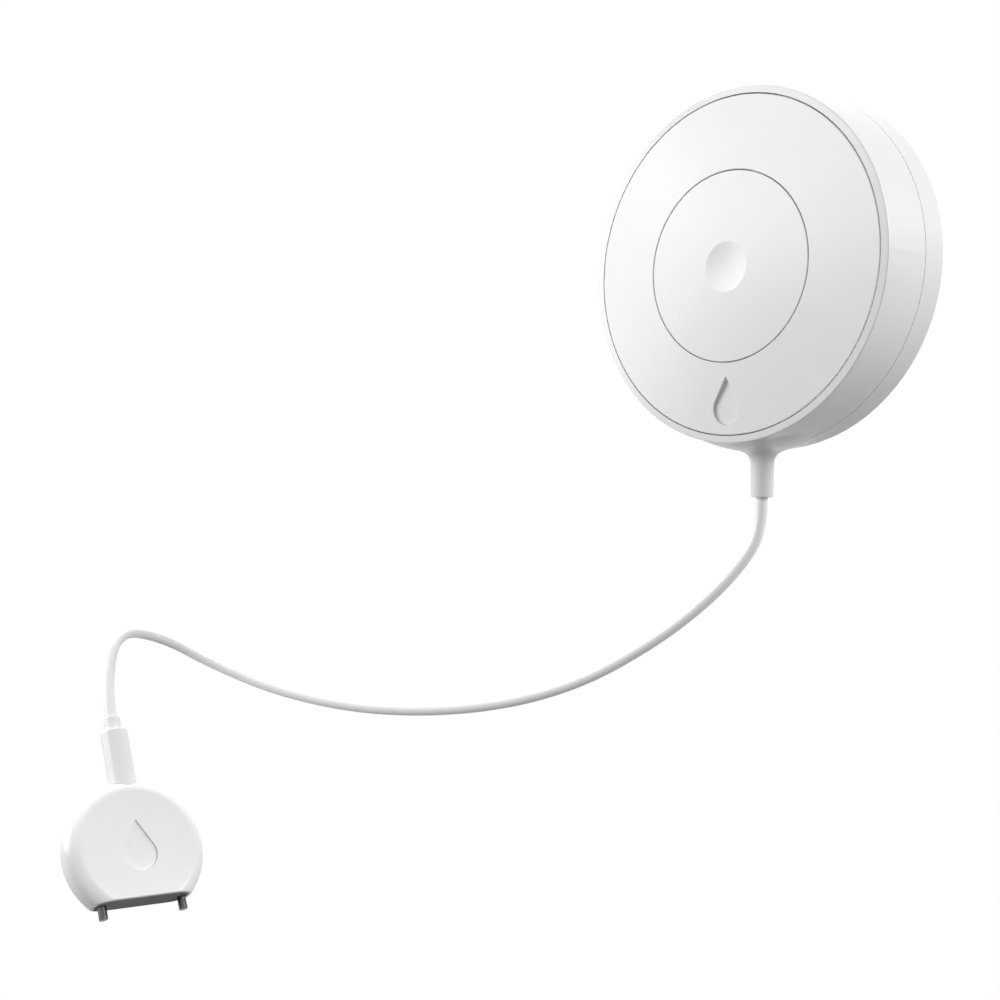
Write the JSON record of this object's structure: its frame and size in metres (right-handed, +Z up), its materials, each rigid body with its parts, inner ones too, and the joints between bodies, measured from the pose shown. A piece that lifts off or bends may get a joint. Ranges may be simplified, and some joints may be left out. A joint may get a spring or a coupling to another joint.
{
  "type": "water leak sensor",
  "caption": "Round wall-mounted water leak sensor with a domed push button, a twist-off battery door and a two-pin probe on a thin cord.",
  "frame": {"origin": "centre of the disc's flat rear face, in the plane of the wall that it is stuck to", "axes": "+Z up, front towards -Y, +Y into the wall, +X to the right seen from the front"},
  "size_m": [0.1908, 0.1358, 0.1991],
  "materials": {
    "shell": "glossy",
    "boot": "satin",
    "jacket": "satin",
    "sleeve": "satin",
    "lens": "glossy",
    "board": "satin",
    "chip": "matte",
    "plunger": "matte",
    "led": "glossy",
    "shield": "satin",
    "steel": "satin",
    "tray": "matte",
    "cell": "satin",
    "seal": "matte",
    "plug": "matte",
    "lead": "satin",
    "pin": "polished"
  },
  "bodies": {
    "sensor": {"front_housing": "shell", "face_plate": "shell", "rear_housing": "shell", "probe_front_shell": "shell", "probe_rear_shell": "shell", "cable_boot": "boot", "probe_boot": "boot", "probe_cable": "jacket", "cable_tail": "jacket", "probe_tail": "jacket", "probe_sleeve": "sleeve", "drop_lens": "lens", "main_board": "board", "radio_module": "board", "probe_board": "board", "board_chips": "chip", "buzzer": "chip", "switch_body": "chip", "status_led": "led", "radio_shield": "shield", "housing_screws": "steel", "board_screws": "steel", "battery_contacts": "steel", "battery_tray": "tray", "battery_cells": "cell", "housing_seal": "seal", "pin_seals": "seal", "lead_socket": "plug", "lead_plug": "plug", "sensor_leads": "lead", "probe_leads": "lead", "probe_pins": "pin"},
    "button": {"button_cap": "shell"},
    "plunger": {"switch_plunger": "plunger"},
    "door": {"battery_door": "shell", "door_seal": "seal"}
  },
  "joints": [
    {"name": "button_press", "type": "slide", "parent": "sensor", "child": "button", "axis": [0, 1, 0], "range_m": [0, 0.0005], "stiffness_N_per_m": 2000, "springref_m": -0.0005},
    {"name": "plunger_press", "type": "slide", "parent": "sensor", "child": "plunger", "axis": [0, 1, 0], "range_m": [0, 0.0005]},
    {"name": "door_twist", "type": "hinge", "parent": "sensor", "child": "door", "pos_m": [0, 0, 0], "axis": [0, 1, 0], "range_deg": [0, 30]}
  ],
  "couplings": [
    {"joint": "plunger_press", "follows": "button_press", "ratio": 1}
  ]
}
